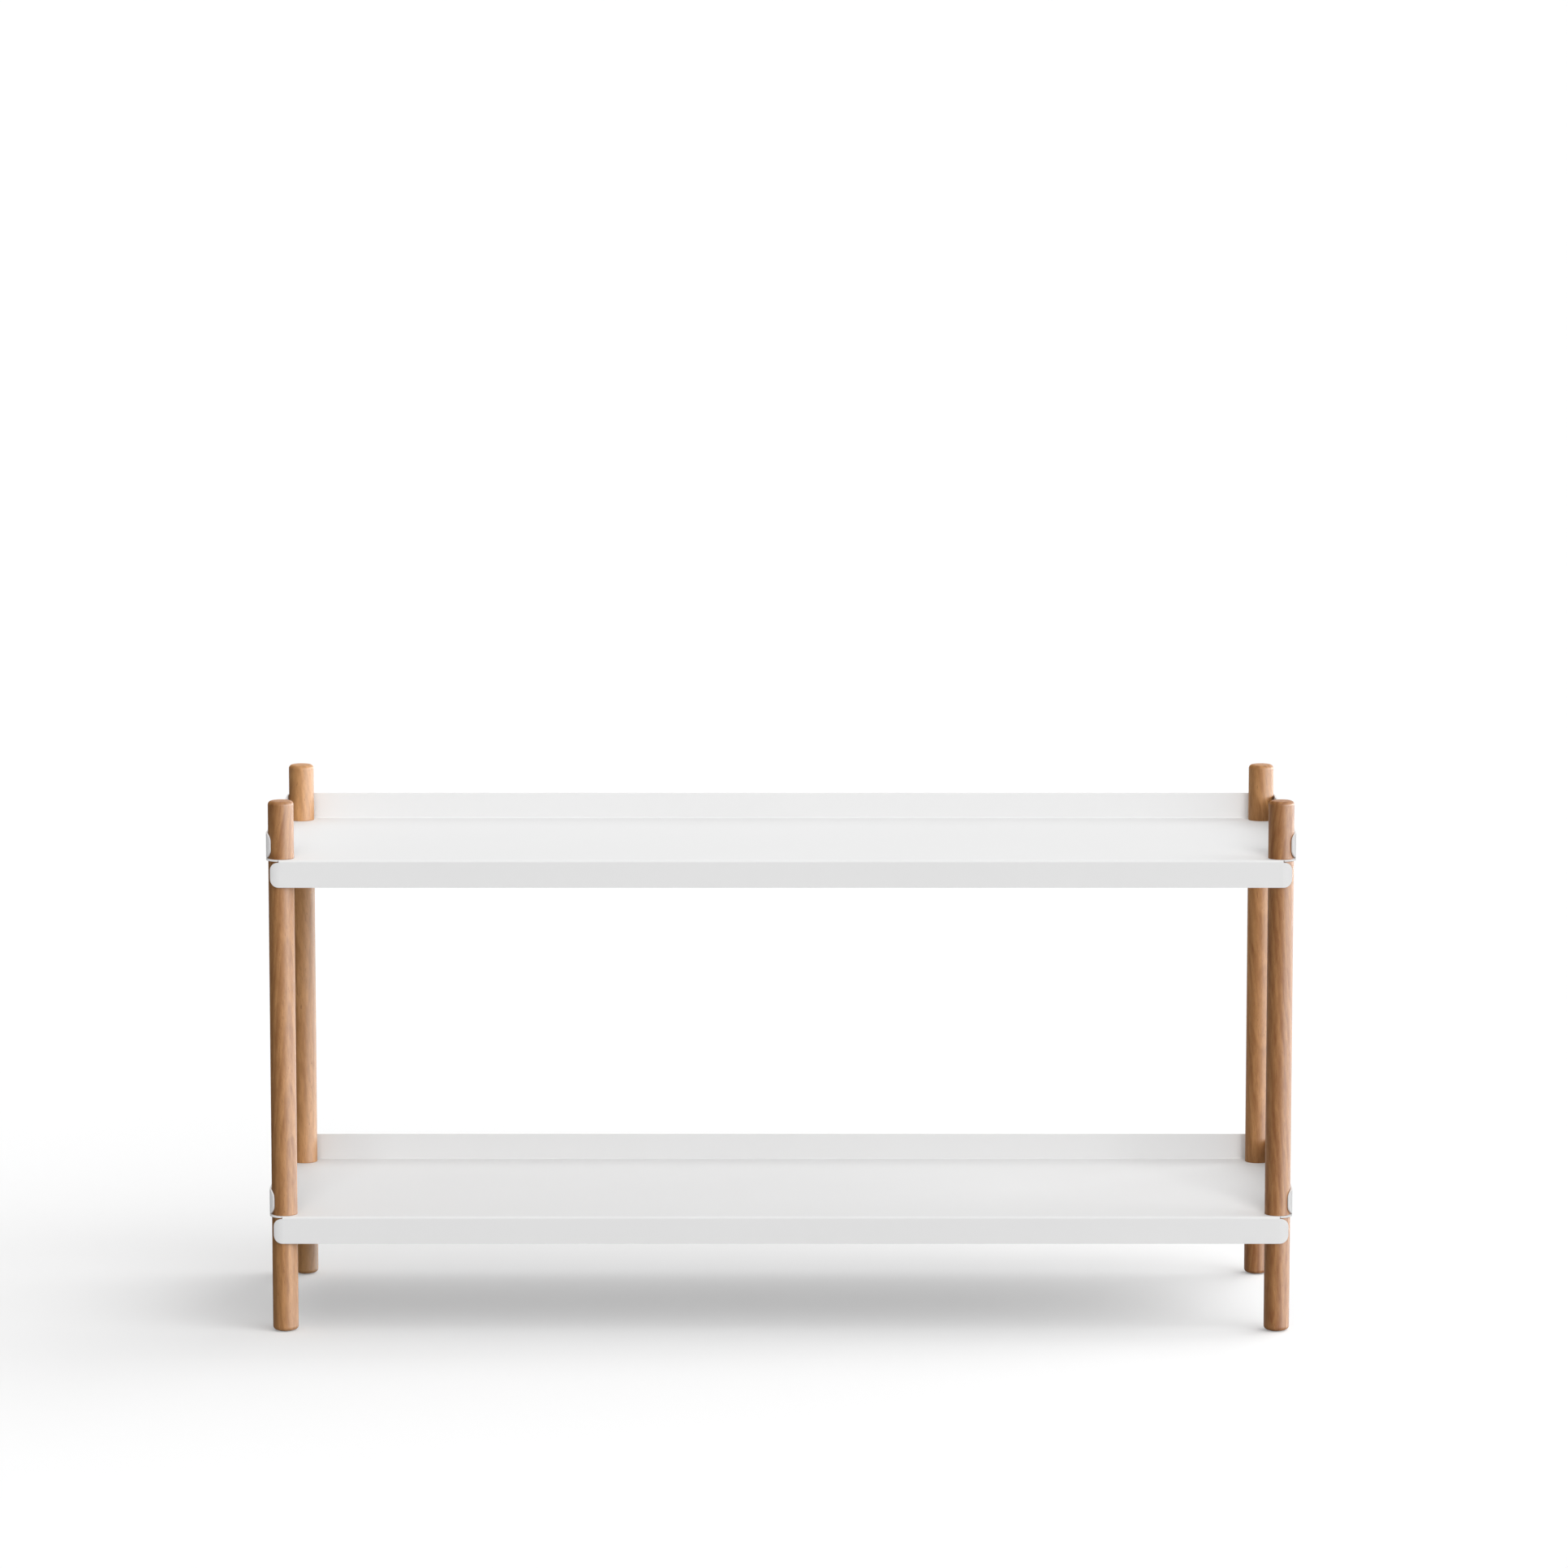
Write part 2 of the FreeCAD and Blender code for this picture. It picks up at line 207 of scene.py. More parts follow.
@dataclass(frozen=True)
class OiledOak:
    """Turned and sanded oak with an oil finish.

    Oak is ring-porous: each year's ring starts with a band of open pores and ends in dense, darker wood, so
    a rod shows long soft streaks that wander where the cut leaves the grain. Oil leaves a satin sheen on the
    side, while the cut ends drink it up and stay matt and a little darker. The rings are cylinders round a
    pith that lies outside the rod, so that streaks on the side and arcs on the end belong together. Real
    fibres and pores are a fraction of a millimetre wide. They are drawn coarser here, so that they show.
    """

    pale: str = "#C8935D"
    deep: str = "#885428"
    pore: str = "#7A4726"
    ring_mm: float = 6.0
    ring_share: float = 0.24
    densest: float = 0.75
    wander: Streaks = Streaks(30.0, 70.0, 2.0)
    wander_mm: float = 12.0
    cloud: Streaks = Streaks(9.0, 60.0, 1.0)
    cloud_share: float = 0.24
    figure: Streaks = Streaks(3.2, 22.0, 2.0)
    figure_share: float = 0.34
    fibre: Streaks = Streaks(1.2, 9.0, 4.0)
    fibre_share: float = 0.24
    streak_low: float = 0.25
    streak_high: float = 0.75
    pores: Streaks = Streaks(0.8, 7.0, 1.0)
    pore_from: float = 0.60
    pore_full: float = 0.68
    pore_stain: float = 0.5
    pore_depth_mm: float = 0.05
    early_wood: float = 0.4
    late_pores: float = 0.15
    end_soak: float = 0.1
    soak_from: float = 0.75
    end_roughness: float = 0.95
    matt_from: float = 0.1
    matt_full: float = 0.7
    roughness: float = 0.57
    sheen_spread: float = 0.06
    specular: float = 0.35
    ior: float = 1.5

    def in_log(self, tree: bpy.types.NodeTree) -> bpy.types.NodeSocket:
        """Find where a point of a rod lay in the log, from the rod's lean and billet attributes.

        Args:
            tree: Node tree of the wood.

        Returns:
            The place, with the pith along the Z axis.
        """
        place = add_node(tree, "ShaderNodeTexCoord").outputs["Object"]
        height = add_node(tree, "ShaderNodeSeparateXYZ", {0: place}).outputs["Z"]
        lean = add_node(tree, "ShaderNodeAttribute", attribute_name="lean").outputs["Vector"]
        leaning = {0: lean, 1: height, 2: place}
        sawn = add_node(tree, "ShaderNodeVectorMath", leaning, operation="MULTIPLY_ADD").outputs[0]
        billet = add_node(tree, "ShaderNodeAttribute", attribute_name="billet").outputs["Vector"]
        return add_node(tree, "ShaderNodeVectorMath", {0: sawn, 1: billet}, operation="ADD").outputs[0]

    def season(self, tree: bpy.types.NodeTree, wood: bpy.types.NodeSocket) -> bpy.types.NodeSocket:
        """Find the time of year at which a point of the wood grew.

        Args:
            tree: Node tree of the wood.
            wood: Place in the log.

        Returns:
            0 where a ring starts, up to 1 where it ends.
        """
        level = {0: wood, 1: (1.0, 1.0, 0.0)}
        flat = add_node(tree, "ShaderNodeVectorMath", level, operation="MULTIPLY").outputs[0]
        radius = add_node(tree, "ShaderNodeVectorMath", {0: flat}, operation="LENGTH").outputs["Value"]
        bent = {0: self.wander.draw(tree, wood), 1: self.wander_mm * MM, 2: radius}
        bent_radius = add_node(tree, "ShaderNodeMath", bent, operation="MULTIPLY_ADD").outputs[0]
        rings = {0: bent_radius, 1: self.ring_mm * MM}
        years = add_node(tree, "ShaderNodeMath", rings, operation="DIVIDE").outputs[0]
        return add_node(tree, "ShaderNodeMath", {0: years}, operation="FRACT").outputs[0]

    def depth(
        self,
        tree: bpy.types.NodeTree,
        wood: bpy.types.NodeSocket,
        season: bpy.types.NodeSocket,
    ) -> bpy.types.NodeSocket:
        """Work out how deep in colour a point of the wood is, from its season, its streaks and the rod's
        tone, which holds painted shade as well as the rod's own wood.

        Args:
            tree: Node tree of the wood.
            wood: Place in the log.
            season: Time of year at which the point grew.

        Returns:
            0 for the pale colour, up to 1 for the deep one.
        """
        # Dense wood builds up through the year and gives way quickly to the next spring's
        growth = {"Value": season, FROM_HIGH: self.densest, TO_HIGH: self.ring_share}
        rise = add_node(tree, "ShaderNodeMapRange", growth, interpolation_type="SMOOTHSTEP").outputs[0]
        spring = {"Value": season, FROM_LOW: self.densest, TO_LOW: self.ring_share, TO_HIGH: 0.0}
        fall = add_node(tree, "ShaderNodeMapRange", spring, interpolation_type="SMOOTHSTEP").outputs[0]
        depth = add_node(tree, "ShaderNodeMath", {0: rise, 1: fall}, operation="MINIMUM").outputs[0]
        layers = (
            (self.cloud, self.cloud_share),
            (self.figure, self.figure_share),
            (self.fibre, self.fibre_share),
        )
        for streaks, share in layers:
            spread = {
                "Value": streaks.draw(tree, wood),
                FROM_LOW: self.streak_low,
                FROM_HIGH: self.streak_high,
                TO_LOW: -share / 2,
                TO_HIGH: share / 2,
            }
            shift = add_node(tree, "ShaderNodeMapRange", spread).outputs[0]
            depth = add_node(tree, "ShaderNodeMath", {0: depth, 1: shift}, operation="ADD").outputs[0]
        # The rod's tone deepens the whole rod: partly its own wood, partly painted shade, deeper for the rods
        # that stand in more shade
        tone_and_shade = add_node(tree, "ShaderNodeAttribute", attribute_name="tone_and_shade").outputs["Fac"]
        toned_and_shaded = {0: depth, 1: tone_and_shade}
        return add_node(tree, "ShaderNodeMath", toned_and_shaded, operation="ADD", use_clamp=True).outputs[0]

    def pits(
        self,
        tree: bpy.types.NodeTree,
        wood: bpy.types.NodeSocket,
        season: bpy.types.NodeSocket,
    ) -> bpy.types.NodeSocket:
        """Find the open pores, which crowd the start of each ring.

        Args:
            tree: Node tree of the wood.
            wood: Place in the log.
            season: Time of year at which the point grew.

        Returns:
            1 in the middle of an early pore, 0 beside pores.
        """
        early = {"Value": season, FROM_HIGH: self.early_wood, TO_LOW: 1.0, TO_HIGH: self.late_pores}
        crowd = add_node(tree, "ShaderNodeMapRange", early).outputs[0]
        opened = {"Value": self.pores.draw(tree, wood), FROM_LOW: self.pore_from, FROM_HIGH: self.pore_full}
        holes = add_node(tree, "ShaderNodeMapRange", opened, interpolation_type="SMOOTHSTEP").outputs[0]
        return add_node(tree, "ShaderNodeMath", {0: holes, 1: crowd}, operation="MULTIPLY").outputs[0]

    def material(self) -> bpy.types.Material:
        """Build the material, which reads each rod's billet, lean and tone attributes. The tone holds painted
        shade as well as the rod's own wood.

        Returns:
            The material of all the rods.
        """
        material = new_material("oiled_oak")
        tree = material.node_tree
        wood = self.in_log(tree)
        season = self.season(tree, wood)
        depth = self.depth(tree, wood, season)
        pits = self.pits(tree, wood, season)

        heart = {MIX_FACTOR: depth, MIX_A: linear_colour(self.pale), MIX_B: linear_colour(self.deep)}
        body = add_node(tree, "ShaderNodeMix", heart, data_type="RGBA").outputs[MIX_COLOUR]
        stained = {0: pits, 1: self.pore_stain}
        stain = add_node(tree, "ShaderNodeMath", stained, operation="MULTIPLY").outputs[0]
        pitted = {MIX_FACTOR: stain, MIX_A: body, MIX_B: linear_colour(self.pore)}
        side_grain = add_node(tree, "ShaderNodeMix", pitted, data_type="RGBA").outputs[MIX_COLOUR]

        # End grain drinks more oil than side grain and stays matt, as far down as the ends are rounded
        normal = add_node(tree, "ShaderNodeNewGeometry").outputs["Normal"]
        upright = {0: normal, 1: tuple(UP)}
        tilt = add_node(tree, "ShaderNodeVectorMath", upright, operation="DOT_PRODUCT").outputs["Value"]
        steep = add_node(tree, "ShaderNodeMath", {0: tilt}, operation="ABSOLUTE").outputs[0]
        ends = {"Value": steep, FROM_LOW: self.soak_from, TO_HIGH: self.end_soak}
        end_grain = add_node(tree, "ShaderNodeMapRange", ends, interpolation_type="SMOOTHSTEP").outputs[0]
        soaked = {MIX_FACTOR: end_grain, MIX_A: side_grain, MIX_B: linear_colour(self.pore)}
        colour = add_node(tree, "ShaderNodeMix", soaked, data_type="RGBA").outputs[MIX_COLOUR]
        sheen = {
            "Value": depth,
            TO_LOW: self.roughness + self.sheen_spread,
            TO_HIGH: self.roughness - self.sheen_spread,
        }
        side_gloss = add_node(tree, "ShaderNodeMapRange", sheen).outputs[0]
        matt = {
            "Value": steep,
            FROM_LOW: self.matt_from,
            FROM_HIGH: self.matt_full,
            TO_LOW: side_gloss,
            TO_HIGH: self.end_roughness,
        }
        gloss = add_node(tree, "ShaderNodeMapRange", matt, interpolation_type="SMOOTHSTEP").outputs[0]

        dents = {"Strength": 1.0, "Distance": -self.pore_depth_mm * MM, "Height": pits}
        oiled = {
            "Base Color": colour,
            "Roughness": gloss,
            "IOR": self.ior,
            "Specular IOR Level": self.specular,
            "Normal": add_node(tree, "ShaderNodeBump", dents).outputs[0],
        }
        shader = add_node(tree, "ShaderNodeBsdfPrincipled", oiled)
        add_node(tree, "ShaderNodeOutputMaterial", {"Surface": shader.outputs[0]})
        return material


@dataclass(frozen=True)
class PowderCoat:
    """White polyester powder coat, baked on sheet steel.

    The powder flows out to a closed film with a fine orange peel and a satin sheen that softens every
    reflection. The peel of the real film is about half a millimetre across. It is drawn coarser here, so
    that it shows at all.
    """

    white: str = "#E5E5E5"
    shade: str = "#E2E2E2"
    cloud_mm: float = 180.0
    cloud_octaves: float = 3.0
    peel_mm: float = 1.6
    peel_octaves: float = 2.0
    peel_low: float = 0.3
    peel_high: float = 0.7
    peel_depth_mm: float = 0.006
    roughness: float = 0.58
    sheen_spread: float = 0.04
    specular: float = 0.25
    ior: float = 1.5

    def material(self) -> bpy.types.Material:
        """Build the material.

        Returns:
            The material of both shelves.
        """
        material = new_material("white_powder_coat")
        tree = material.node_tree
        place = add_node(tree, "ShaderNodeTexCoord").outputs["Object"]
        cloud = {"Vector": place, "Scale": 1 / (self.cloud_mm * MM), "Detail": self.cloud_octaves}
        film = add_node(tree, "ShaderNodeTexNoise", cloud).outputs[0]
        tint = {MIX_FACTOR: film, MIX_A: linear_colour(self.white), MIX_B: linear_colour(self.shade)}
        peel = {"Vector": place, "Scale": 1 / (self.peel_mm * MM), "Detail": self.peel_octaves}
        grain = add_node(tree, "ShaderNodeTexNoise", peel).outputs[0]
        satin = {
            "Value": grain,
            FROM_LOW: self.peel_low,
            FROM_HIGH: self.peel_high,
            TO_LOW: self.roughness - self.sheen_spread,
            TO_HIGH: self.roughness + self.sheen_spread,
        }
        bump = {"Strength": 1.0, "Distance": self.peel_depth_mm * MM, "Height": grain}
        coated = {
            "Base Color": add_node(tree, "ShaderNodeMix", tint, data_type="RGBA").outputs[MIX_COLOUR],
            "Roughness": add_node(tree, "ShaderNodeMapRange", satin).outputs[0],
            "IOR": self.ior,
            "Specular IOR Level": self.specular,
            "Normal": add_node(tree, "ShaderNodeBump", bump).outputs[0],
        }
        shader = add_node(tree, "ShaderNodeBsdfPrincipled", coated)
        add_node(tree, "ShaderNodeOutputMaterial", {"Surface": shader.outputs[0]})
        return material


@dataclass(frozen=True)
class ZincPlate:
    """Zinc-plated steel of studs and inserts: a grey metal with fine cloudy patches from the bath."""

    bright: str = "#C9CBCC"
    dull: str = "#A9ACAE"
    patch_mm: float = 2.5
    patch_octaves: float = 3.0
    patch_low: float = 0.3
    patch_high: float = 0.7
    roughness: float = 0.38
    sheen_spread: float = 0.08

    def material(self) -> bpy.types.Material:
        """Build the material.

        Returns:
            The material of the hidden metal.
        """
        material = new_material("zinc_plated_steel")
        tree = material.node_tree
        place = add_node(tree, "ShaderNodeTexCoord").outputs["Object"]
        patches = {"Vector": place, "Scale": 1 / (self.patch_mm * MM), "Detail": self.patch_octaves}
        bath = add_node(tree, "ShaderNodeTexNoise", patches).outputs[0]
        tint = {MIX_FACTOR: bath, MIX_A: linear_colour(self.bright), MIX_B: linear_colour(self.dull)}
        cloudy = {
            "Value": bath,
            FROM_LOW: self.patch_low,
            FROM_HIGH: self.patch_high,
            TO_LOW: self.roughness - self.sheen_spread,
            TO_HIGH: self.roughness + self.sheen_spread,
        }
        plated = {
            "Base Color": add_node(tree, "ShaderNodeMix", tint, data_type="RGBA").outputs[MIX_COLOUR],
            "Roughness": add_node(tree, "ShaderNodeMapRange", cloudy).outputs[0],
            "Metallic": 1.0,
        }
        shader = add_node(tree, "ShaderNodeBsdfPrincipled", plated)
        add_node(tree, "ShaderNodeOutputMaterial", {"Surface": shader.outputs[0]})
        return material


@dataclass(frozen=True)
class MouldedNylon:
    """Natural nylon of the glides: a milky, slightly uneven white with a moulded grain.

    The grain of a real mould is finer. It is drawn coarser here, so that it shows.
    """

    milk: str = "#DEDBD2"
    scuff: str = "#C4C0B5"
    grain_mm: float = 0.8
    grain_octaves: float = 3.0
    grain_depth_mm: float = 0.02
    scuff_from: float = 0.45
    scuff_full: float = 0.75
    scuff_share: float = 0.7
    roughness: float = 0.48
    ior: float = 1.53

    def material(self) -> bpy.types.Material:
        """Build the material.

        Returns:
            The material of the glides.
        """
        material = new_material("moulded_nylon")
        tree = material.node_tree
        place = add_node(tree, "ShaderNodeTexCoord").outputs["Object"]
        speckle = {"Vector": place, "Scale": 1 / (self.grain_mm * MM), "Detail": self.grain_octaves}
        grain = add_node(tree, "ShaderNodeTexNoise", speckle).outputs[0]
        worn = {
            "Value": grain,
            FROM_LOW: self.scuff_from,
            FROM_HIGH: self.scuff_full,
            TO_HIGH: self.scuff_share,
        }
        wear = add_node(tree, "ShaderNodeMapRange", worn).outputs[0]
        tint = {MIX_FACTOR: wear, MIX_A: linear_colour(self.milk), MIX_B: linear_colour(self.scuff)}
        bump = {"Strength": 1.0, "Distance": self.grain_depth_mm * MM, "Height": grain}
        moulded = {
            "Base Color": add_node(tree, "ShaderNodeMix", tint, data_type="RGBA").outputs[MIX_COLOUR],
            "Roughness": self.roughness,
            "IOR": self.ior,
            "Normal": add_node(tree, "ShaderNodeBump", bump).outputs[0],
        }
        shader = add_node(tree, "ShaderNodeBsdfPrincipled", moulded)
        add_node(tree, "ShaderNodeOutputMaterial", {"Surface": shader.outputs[0]})
        return material


def finish_piece(
    mesh: bmesh.types.BMesh,
    name: str,
    node: str,
    finish: bpy.types.Material,
) -> bpy.types.Object:
    """Turn a modelled mesh into a piece that stands for a node of the frame.

    Args:
        mesh: Finished mesh, in place. It is freed.
        name: Name of the piece.
        node: Node that the piece replaces.
        finish: Material of the piece.

    Returns:
        The piece's object.
    """
    data = bpy.data.meshes.new(name)
    mesh.to_mesh(data)
    mesh.free()
    data.polygons.foreach_set("use_smooth", [True] * len(data.polygons))
    data.materials.append(finish)
    piece = bpy.data.objects.new(name, data)
    bpy.context.scene.collection.objects.link(piece)
    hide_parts(node)
    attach(piece, BODY)
    LOG.info("%s: %d faces, stands for %s", name, len(data.polygons), node)
    return piece


def keep_flats_flat(piece: bpy.types.Object) -> None:
    """Let large faces set the shading, so that flat faces stay flat beside small rounded edges.

    Args:
        piece: Object that gets the modifier.
    """
    weighted = piece.modifiers.new("flat_faces", "WEIGHTED_NORMAL")
    weighted.weight = 100
    weighted.keep_sharp = True
    piece.data.set_sharp_from_angle(angle=SHARP_ANGLE)


@dataclass(frozen=True)
class Billet:
    """Wood that a rod was turned from, each with its own place in the log and its own lean of the grain."""

    number: int
    pith_turn: float = math.radians(137.5)
    pith_near: float = 38.0 * MM
    pith_step: float = 9.0 * MM
    pith_distances: int = 5
    spacing: float = 0.7
    lean_turn: float = math.radians(100.0)
    least_lean: float = 0.06
    lean_step: float = 0.03
    leans: int = 3

    def offset(self, centre: Vector) -> Vector:
        """Find the way from the rod to its place in the log, beside the pith.

        Args:
            centre: Middle of the rod.

        Returns:
            The vector that moves a point of the rod into the log.
        """
        turn = self.pith_turn * self.number
        distance = self.pith_near + self.pith_step * (self.number % self.pith_distances)
        pith = Vector((math.cos(turn), math.sin(turn), 0.0)) * distance
        return pith - Vector((centre.x, centre.y, 0.0)) + UP * (self.spacing * self.number)

    def lean(self) -> Vector:
        """Find how far the grain runs out sideways for each metre along the rod.

        Returns:
            The level run-out.
        """
        turn = self.lean_turn * self.number
        slope = self.least_lean + self.lean_step * (self.number % self.leans)
        return Vector((math.cos(turn), math.sin(turn), 0.0)) * slope


@dataclass
class TurnedRod:
    """One turned oak piece: a round rod with rounded or eased ends and the holes of its fittings."""

    turning: Turning
    corner: Corner
    finish: bpy.types.Material
    free_round: float = 4.0 * MM
    eased_edge: float = 0.7 * MM
    insert_radius: float = 6.05 * MM
    insert_depth: float = 23.0 * MM
    flange_radius: float = 8.05 * MM
    flange_depth: float = 1.5 * MM
    glide_radius: float = 7.05 * MM
    glide_depth: float = 1.5 * MM
    stem_radius: float = 3.05 * MM
    stem_depth: float = 15.0 * MM
    sides: int = 96
    round_steps: int = 10
    ease_steps: int = 4

    @property
    def node(self) -> str:
        """Name of the node that this piece stands for."""
        return f"{self.turning.value}_{self.corner.suffix}"

    @property
    def level(self) -> int:
        """Number of this rod in its corner, from the floor up."""
        return list(Turning).index(self.turning)

    @property
    def number(self) -> int:
        """Number of this rod among all the rods."""
        return list(Corner).index(self.corner) * len(Turning) + self.level

    def is_free(self, top: bool) -> bool:
        """Whether an end stands free, as the top of a finial and the bottom of a foot do."""
        return self.turning is (Turning.FINIAL if top else Turning.FOOT)

    def sink_hole(
        self,
        mesh: bmesh.types.BMesh,
        cap: bmesh.types.BMFace,
        radius: float,
        depth: float,
    ) -> bmesh.types.BMFace:
        """Sink a round hole into an end face.

        Args:
            mesh: Mesh of the rod.
            cap: Round face that the hole starts in.
            radius: Radius of the hole.
            depth: Depth of the hole.

        Returns:
            The face at the bottom of the hole.
        """
        inward = -cap.normal
        width = max((v.co - cap.calc_center_median()).length for v in cap.verts) - radius
        bmesh.ops.inset_individual(mesh, faces=[cap], thickness=width, use_even_offset=True)
        moved = bmesh.ops.extrude_discrete_faces(mesh, faces=[cap])["faces"]
        bmesh.ops.translate(mesh, verts=moved[0].verts[:], vec=inward * depth)
        return moved[0]

    def sink_fittings(self, mesh: bmesh.types.BMesh) -> None:
        """Sink the holes for the inserts, and for the glide under a foot.

        Args:
            mesh: Mesh of the rod, with both ends closed.
        """
        caps = [face for face in mesh.faces if len(face.verts) == self.sides]
        caps.sort(key=lambda face: face.calc_center_median().z)
        for top, cap in zip((False, True), caps):
            if not self.is_free(top):
                seat = self.sink_hole(mesh, cap, self.flange_radius, self.flange_depth)
                self.sink_hole(mesh, seat, self.insert_radius, self.insert_depth - self.flange_depth)
            elif top:
                bmesh.ops.inset_individual(mesh, faces=[cap], thickness=self.eased_edge, use_even_offset=True)
            else:
                seat = self.sink_hole(mesh, cap, self.glide_radius, self.glide_depth)
                self.sink_hole(mesh, seat, self.stem_radius, self.stem_depth)

    def mark_wood(self, data: bpy.types.Mesh) -> None:
        """Give the mesh what the oak reads: the rod's billet, the lean of its grain and its tone, which holds
        painted shade as well as the rod's own wood.

        Args:
            data: Mesh of the rod.
        """
        low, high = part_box(self.node)
        billet = Billet(self.number)
        marks = (
            ("billet", "FLOAT_VECTOR", "vector", list(billet.offset((low + high) / 2))),
            ("lean", "FLOAT_VECTOR", "vector", list(billet.lean())),
            ("tone_and_shade", "FLOAT", "value", [TONES_AND_SHADE[self.corner][self.level]]),
        )
        for name, kind, key, value in marks:
            mark = data.attributes.new(name, kind, "POINT")
            mark.data.foreach_set(key, value * len(data.vertices))

    def build(self) -> bpy.types.Object:
        """Model the rod and dress it.

        Returns:
            The piece's object.
        """
        low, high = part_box(self.node)
        radius = (high.x - low.x) / 2
        mesh = bmesh.new()
        bmesh.ops.create_cone(
            mesh,
            cap_ends=True,
            segments=self.sides,
            radius1=radius,
            radius2=radius,
            depth=high.z - low.z,
            matrix=Matrix.Translation((low + high) / 2),
        )
        for top, height in ((False, low.z), (True, high.z)):
            rim = [e for e in mesh.edges if all(abs(v.co.z - height) < CLOSE for v in e.verts)]
            free = self.is_free(top)
            bmesh.ops.bevel(
                mesh,
                geom=rim,
                offset=self.free_round if free else self.eased_edge,
                offset_type="OFFSET",
                affect="EDGES",
                segments=self.round_steps if free else self.ease_steps,
                profile=0.5,
                material=-1,
            )
        self.sink_fittings(mesh)
        bmesh.ops.recalc_face_normals(mesh, faces=mesh.faces)
        piece = finish_piece(mesh, f"oak_{self.node}", self.node, self.finish)
        self.mark_wood(piece.data)
        keep_flats_flat(piece)
        return piece


@dataclass
class FoldedShelf:
    """One folded sheet: a deck with an upstand at the sides and back and a lip hanging at the front.

    The sheet is modelled as the middle of its thickness. At a front corner lip and upstand both wrap the
    post and end where they meet, each with a rounded end that is cut free of the deck.
    """

    node: str
    finish: bpy.types.Material
    sheet: float = 1.5 * MM
    lip_height: float = 27.0 * MM
    bend_radius: float = 1.0 * MM
    post_radius: float = 12.5 * MM
    post_gap: float = 0.5 * MM
    end_round: float = 8.5 * MM
    stud_hole: float = 4.5 * MM
    split_degrees: float = 45.0
    attached_degrees: float = 6.0
    bare_degrees: float = 9.0
    film_round: float = 0.3 * MM
    film_steps: int = 3
    corner_steps: int = 30
    bend_steps: int = 6
    end_steps: int = 10
    hole_sides: int = 32
    high: Vector = field(init=False)

    def __post_init__(self) -> None:
        """Read the shelf's rear right upper corner from the frame."""
        self.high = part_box(self.node)[1]

    @property
    def bend(self) -> float:
        """Radius of a fold at the middle of the sheet."""
        return self.bend_radius + self.sheet / 2

    @property
    def wall(self) -> float:
        """Distance from a post's axis to the middle of the folded sheet round it."""
        return self.post_radius + self.post_gap + self.sheet / 2

    @property
    def fold_line(self) -> float:
        """Distance from a post's axis to where the flat deck ends."""
        return self.wall - self.bend

    @property
    def free_edge(self) -> float:
        """Distance from the middle of the deck to a fold's free edge."""
        return self.lip_height - self.sheet / 2

    @property
    def post(self) -> Vector:
        """Place of the rear right post's axis, at the middle of the deck's thickness."""
        reach = self.wall + self.sheet / 2
        return Vector((self.high.x - reach, self.high.y - reach, self.high.z - self.free_edge))

    def nearest_axis(self, point: Vector) -> Vector:
        """Point of the rectangle through the post axes, at the deck's height, that is nearest to a point."""
        post = self.post
        return Vector((min(max(point.x, -post.x), post.x), min(max(point.y, -post.y), post.y), post.z))

    def bearing(self, point: Vector) -> float:
        """Degrees that a deck edge faces away from straight ahead: 0 in front, 90 at a side, 180 behind."""
        out = point - self.nearest_axis(point)
        return math.degrees(math.atan2(abs(out.x), -out.y))

    def on_edge(self, point: Vector, out: float, rise: float) -> Vector:
        """Move a point square to the deck's edge.

        Args:
            point: Point at the deck's edge.
            out: Distance from the line of the post axes.
            rise: Height over the middle of the deck.

        Returns:
            The new place.
        """
        axis = self.nearest_axis(point)
        away = Vector((point.x - axis.x, point.y - axis.y, 0.0)).normalized()
        return axis + away * out + UP * rise

    def on_wrap(self, side: int, fold: Fold, degrees: float, along: float) -> Vector:
        """Find a point of the sheet that wraps a front post.

        Args:
            side: Sign of X of the post.
            fold: Lip or upstand.
            degrees: Direction round the post, from straight ahead.
            along: Distance from the middle of the deck.

        Returns:
            The point, at the middle of the sheet.
        """
        turn = math.radians(degrees)
        axis = Vector((side * self.post.x, -self.post.y, self.post.z))
        ahead = Vector((side * math.sin(turn), -math.cos(turn), 0.0))
        return axis + ahead * self.wall + UP * fold.value * along

    def deck(self) -> bmesh.types.BMesh:
        """Lay out the flat deck up to its fold lines, with the stud holes.

        Returns:
            The deck as a flat mesh.
        """
        mesh = bmesh.new()
        post = self.post
        reach = Vector((post.x + self.fold_line, post.y + self.fold_line, 1.0))
        place = Matrix.Translation(UP * post.z) @ Matrix.Diagonal(reach.to_4d())
        bmesh.ops.create_grid(mesh, x_segments=1, y_segments=1, size=1.0, matrix=place)
        bmesh.ops.bevel(
            mesh,
            geom=mesh.verts[:],
            offset=self.fold_line,
            offset_type="OFFSET",
            affect="VERTICES",
            segments=self.corner_steps,
            profile=0.5,
            material=-1,
        )
        bmesh.ops.delete(mesh, geom=mesh.faces[:], context="FACES_ONLY")
        for corner in Corner:
            side_x, side_y = corner.value
            axis = Matrix.Translation((side_x * post.x, side_y * post.y, post.z))
            bmesh.ops.create_circle(mesh, radius=self.stud_hole, segments=self.hole_sides, matrix=axis)
        bmesh.ops.triangle_fill(mesh, use_beauty=True, edges=mesh.edges[:], normal=UP)
        return mesh

